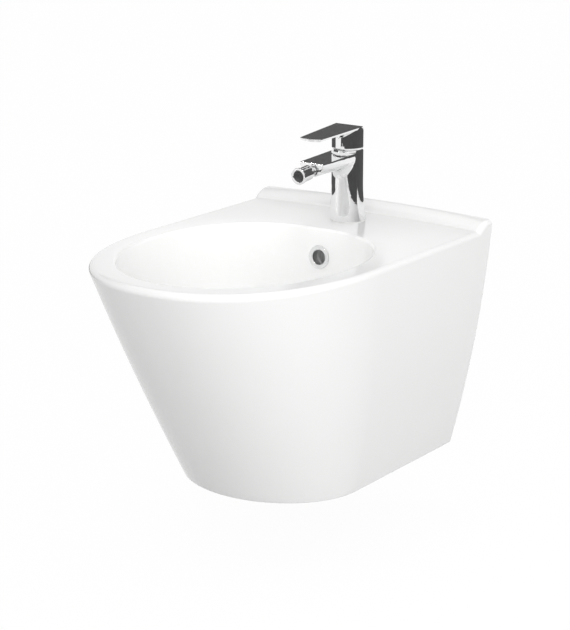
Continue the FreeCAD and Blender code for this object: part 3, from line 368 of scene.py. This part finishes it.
dress(black_rubber(), "clamp_seal", "cartridge_seals", "nozzle_seal", "aerator_gasket", "waste_upper_seal",
      "waste_lower_seal", "plug_seal")


# Fixing sleeves, the ring under the mixer, the cartridge's plastic pieces and the nozzle's slip
# ring: white acetal, moulded, with a fine satin grain. They keep metal off the china and let
# the lever and the nozzle turn freely.

def white_acetal():
    finish = Finish("white_acetal")
    creamy_white = (0.74, 0.74, 0.72, 1)
    clear_white = (0.8, 0.8, 0.79, 1)
    grain = finish.noise(scale=1200.0, detail=2.0)
    tone = finish.noise(scale=25.0, detail=1.0)
    return finish.surface({
        "Base Color": finish.blend(tone, creamy_white, clear_white),
        "Roughness": 0.38 + grain * 0.15,
        "Normal": finish.relief(grain, depth=0.00005, strength=0.2),
    })


dress(white_acetal(), "fixing_sleeves", "mixer_base_seal", "cartridge_base", "cartridge_housing",
      "disc_carrier", "rotor", "nozzle_slip_ring")


# Aerator: dark acetal, moulded and pierced by its jets. It is pushed into the nozzle and held
# there by the end ring.

def dark_acetal():
    finish = Finish("dark_acetal")
    deep_black = (0.05, 0.05, 0.05, 1)
    worn_black = (0.085, 0.085, 0.085, 1)
    grain = finish.noise(scale=1500.0, detail=2.0)
    return finish.surface({
        "Base Color": finish.blend(grain, deep_black, worn_black),
        "Roughness": 0.35 + grain * 0.15,
    })


dress(dark_acetal(), "aerator_insert")


# Valve discs: fired alumina, ground flat to a matt off-white. One is fixed in the cartridge,
# and the other slides on it as the lever lifts.

def ground_alumina():
    finish = Finish("ground_alumina")
    ground_white = (0.72, 0.71, 0.67, 1)
    bare_white = (0.8, 0.79, 0.76, 1)
    grind = finish.noise(scale=700.0, detail=2.0)
    return finish.surface({
        "Base Color": finish.blend(grind, ground_white, bare_white),
        "Roughness": 0.3 + grind * 0.1,
    })


dress(ground_alumina(), "fixed_disc", "moving_disc")


# Stage: a pale floor at its usual distance below the body, a white surround and soft lamps.
# Floor and surround look white to the camera and in gloss, and light the object less than that.

def stage_panel(name, corners):
    """A flat panel that is no part of the object."""
    mesh = bpy.data.meshes.new(name)
    mesh.from_pydata(corners, [], [tuple(range(len(corners)))])
    panel = new_object(name, mesh)
    return panel


looking_rays = ("Is Camera Ray", "Is Glossy Ray", "Is Transmission Ray")


def pale_floor():
    finish = Finish("pale_floor")
    bounce_grey = (0.39, 0.39, 0.39, 1)
    seen_white = (0.93, 0.93, 0.93, 1)
    glow_share = 0.96
    seen, mirrored, through = [finish.add("ShaderNodeLightPath", {}, {}, ray) for ray in looking_rays]
    looked_at = (seen + mirrored + through).limited(low=0.0, high=1.0)
    finish.surface({
        "Base Color": finish.blend(looked_at, bounce_grey, seen_white),
        "Roughness": 0.9,
        "Specular IOR Level": 0.0,
    })
    glow = finish.add("ShaderNodeEmission", {}, {"Color": (1, 1, 1, 1), "Strength": 1.0})
    lit = Link(finish, finish.shader.outputs[0])
    mixed = finish.add("ShaderNodeMixShader", {}, {0: looked_at * glow_share, 1: lit, 2: glow})
    finish.put(finish.tree.nodes["Material Output"].inputs["Surface"], mixed)
    return finish.material


floor_z = -0.29
floor_reach = 9.0
floor = stage_panel("floor", [(-floor_reach, -floor_reach, floor_z), (floor_reach, -floor_reach, floor_z),
                              (floor_reach, floor_reach, floor_z), (-floor_reach, floor_reach, floor_z)])
floor.data.materials.append(pale_floor())


def white_surround():
    lighting_strength = 0.86
    seen_strength = 1.0
    world = bpy.data.worlds.new("white_surround")
    bpy.context.scene.world = world
    world.use_nodes = True
    tree = world.node_tree
    background = tree.nodes["Background"]
    background.inputs["Color"].default_value = (1, 1, 1, 1)
    rays = tree.nodes.new("ShaderNodeLightPath").outputs
    looked_at = rays[looking_rays[0]]
    for ray in looking_rays[1:]:
        either = tree.nodes.new("ShaderNodeMath")
        either.operation = "MAXIMUM"
        wire(tree, [(looked_at, either.inputs[0]), (rays[ray], either.inputs[1])])
        looked_at = either.outputs[0]
    strength = tree.nodes.new("ShaderNodeMapRange")
    strength.inputs["To Min"].default_value = lighting_strength
    strength.inputs["To Max"].default_value = seen_strength
    wire(tree, [(looked_at, strength.inputs["Value"]), (strength.outputs[0], background.inputs["Strength"])])


white_surround()


def facing(direction):
    """The rotation of a lamp or camera that looks along a direction."""
    return direction.to_track_quat("-Z", "Y").to_euler()


def studio_lamp(name, kind, power, place, aim):
    """A lamp at a place, turned to a point."""
    lamp = bpy.data.lights.new(name, kind)
    lamp.energy = power
    holder = new_object(name, lamp)
    holder.location = place
    holder.rotation_euler = facing(Vector(aim) - holder.location)
    return holder


def soft_spot(name, power, cone, blend, softness, place, aim):
    """A round lamp that lights one stretch of the china."""
    lamp = studio_lamp(name, "SPOT", power, place, aim).data
    lamp.spot_size = math.radians(cone)
    lamp.spot_blend = blend
    lamp.shadow_soft_size = softness


key_lamp = studio_lamp("key_lamp", "AREA", power=60, place=(2.13, -2.08, 0.65), aim=(0, -0.25, 0))
key_lamp.data.shape = "RECTANGLE"
key_lamp.data.size = 4.0
key_lamp.data.size_y = 1.7
key_lamp.visible_glossy = False
soft_spot("bowl_left_spot", power=39, cone=10, blend=0.8, softness=0.1,
          place=(0.4, -0.8, 1.4), aim=(-0.06, -0.25, 0.02))
soft_spot("bowl_right_spot", power=46, cone=8, blend=0.9, softness=0.1,
          place=(-0.8, -0.85, 1.2), aim=(0.07, -0.21, 0.03))
soft_spot("bowl_near_spot", power=36, cone=7, blend=0.9, softness=0.1,
          place=(0.1, 0.6, 1.3), aim=(0.0, -0.39, 0.04))
soft_spot("deck_spot", power=42, cone=17, blend=1.0, softness=0.4,
          place=(0.19, -0.05, 1.6), aim=(0.19, -0.05, 0.1))


# Dark cards: black cloth screens that stand round the object, out of the camera's sight. They
# show only in reflections, where they give the polished metal its dark faces.

def black_cloth():
    finish = Finish("black_cloth")
    thread_black = (0.095, 0.095, 0.095, 1)
    faded_black = (0.12, 0.12, 0.12, 1)
    weave = finish.noise(scale=400.0, detail=2.0)
    return finish.surface({
        "Base Color": finish.blend(weave, thread_black, faded_black),
        "Roughness": 1.0,
        "Specular IOR Level": 0.0,
    })


cloth = black_cloth()
camera_azimuth = math.radians(35.30)
mixer_y = -0.07


def around(turn, distance, height):
    """A point seen from the mixer: degrees to the right of the camera, distance and height."""
    heading = math.radians(turn) + camera_azimuth
    return (distance * math.sin(heading), mixer_y - distance * math.cos(heading), height)


def dark_card(name, first, last, distance, foot, top):
    """An upright card between two turns and two heights."""
    card = stage_panel(name, [around(first, distance, foot), around(last, distance, foot),
                              around(last, distance, top), around(first, distance, top)])
    card.data.materials.append(cloth)
    card.visible_camera = False
    card.visible_diffuse = False
    card.visible_shadow = False
    card.visible_transmission = False


card_distance = 1.6
card_foot = -0.27


def card_row(side, first, last, count, foot, top):
    """Cards side by side, each square to the mixer."""
    width = (last - first) / count
    for number in range(count):
        start = first + width * number
        dark_card(side + "_card_" + str(number), start, start + width, card_distance, foot, top)


card_row("front", first=-50, last=68, count=4, foot=card_foot, top=0.35)
card_row("right", first=68, last=164, count=3, foot=card_foot, top=1.8)
card_row("high", first=164, last=310, count=5, foot=0.85, top=1.7)
card_row("low", first=205, last=265, count=2, foot=card_foot, top=-0.05)
dark_card("back_flag", first=172, last=188, distance=0.55, foot=0.29, top=0.44)


# Camera: the photograph's own angle, found from the rim, bowl, underside and tap outlines.
# A long lens from about two and a half metres away keeps the lines nearly parallel.

elevation = math.radians(15.74)
lens = bpy.data.cameras.new("photo_camera")
lens.lens = 116.03
lens.sensor_width = 36.0
camera = new_object("photo_camera", lens)
camera.location = (1.44586, -2.25181, 0.71284)
back = Vector((math.sin(camera_azimuth) * math.cos(elevation),
               -math.cos(camera_azimuth) * math.cos(elevation), math.sin(elevation)))
camera.rotation_euler = facing(-back)
bpy.context.scene.camera = camera
bpy.context.scene.view_settings.view_transform = "Standard"
